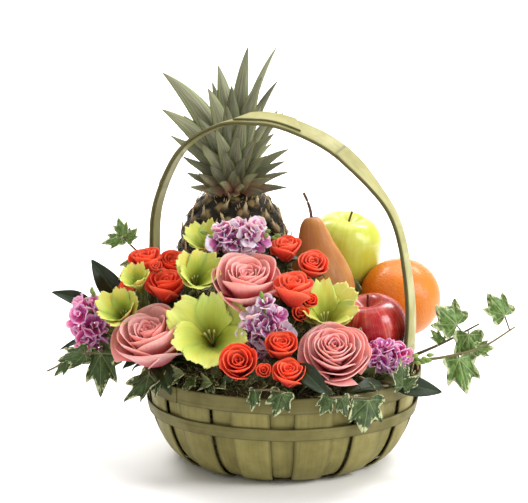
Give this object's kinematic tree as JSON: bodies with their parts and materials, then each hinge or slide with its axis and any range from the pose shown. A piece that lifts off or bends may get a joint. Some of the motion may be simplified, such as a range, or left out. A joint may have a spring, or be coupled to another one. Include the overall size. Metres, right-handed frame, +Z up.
{
  "type": "fruit and flower basket",
  "caption": "Splint basket with a hoop handle, filled with a pineapple, a pear, apples and an orange behind roses, gladiolus, stock and trailing ivy.",
  "frame": {"origin": "middle of the basket's underside", "axes": "+Z up from the table, +X along the plane of the hoop handle; the bouquet faces 20 degrees round from -Y towards +X"},
  "size_m": [0.4603, 0.3167, 0.4166],
  "materials": {
    "splint_wood": "satin",
    "handle_cane": "satin",
    "pineapple_rind": "matte",
    "pear_skin": "satin",
    "green_apple_skin": "gloss",
    "orange_rind": "satin",
    "red_apple_skin": "gloss",
    "pink_petal": "matte",
    "coral_petal": "matte",
    "lime_petal": "matte",
    "lilac_petal": "matte",
    "ivy_leaf": "satin",
    "dark_leaf": "satin",
    "moss": "matte"
  },
  "bodies": {
    "root": {"gladiolus_front": "lime_petal", "gladiolus_left_low": "lime_petal", "gladiolus_left_top": "lime_petal", "gladiolus_middle": "lime_petal", "gladiolus_right": "lime_petal", "gladiolus_top": "lime_petal", "green_apple": "green_apple_skin", "handle_inner": "handle_cane", "handle_outer": "handle_cane", "handle_splice": "handle_cane", "inner_splints": "splint_wood", "ivy_back": "ivy_leaf", "ivy_front_left": "ivy_leaf", "ivy_front_middle": "ivy_leaf", "ivy_front_right": "ivy_leaf", "ivy_left_low": "ivy_leaf", "ivy_left_top": "ivy_leaf", "ivy_right_front": "ivy_leaf", "ivy_right_high": "ivy_leaf", "ivy_right_low": "ivy_leaf", "leaf_back_left": "dark_leaf", "leaf_back_right": "dark_leaf", "leaf_front": "dark_leaf", "leaf_left_high": "dark_leaf", "leaf_left_low": "dark_leaf", "leaf_left_mid": "dark_leaf", "leaf_left_thin": "dark_leaf", "leaf_right": "dark_leaf", "leaf_right_low": "dark_leaf", "lower_hoop": "splint_wood", "moss_bed": "moss", "orange": "orange_rind", "outer_splints": "splint_wood", "pear": "pear_skin", "pineapple": "pineapple_rind", "pink_rose_back": "pink_petal", "pink_rose_left": "pink_petal", "pink_rose_middle": "pink_petal", "pink_rose_right": "pink_petal", "red_apple": "red_apple_skin", "rim_band": "splint_wood", "spray_rose_back_1": "coral_petal", "spray_rose_back_2": "coral_petal", "spray_rose_left_1": "coral_petal", "spray_rose_left_2": "coral_petal", "spray_rose_left_3": "coral_petal", "spray_rose_left_4": "coral_petal", "spray_rose_low_1": "coral_petal", "spray_rose_low_2": "coral_petal", "spray_rose_low_3": "coral_petal", "spray_rose_low_4": "coral_petal", "spray_rose_right_1": "coral_petal", "spray_rose_right_2": "coral_petal", "spray_rose_right_3": "coral_petal", "spray_rose_right_4": "coral_petal", "stock_left": "lilac_petal", "stock_middle": "lilac_petal", "stock_right": "lilac_petal", "stock_top": "lilac_petal"}
  },
  "joints": []
}
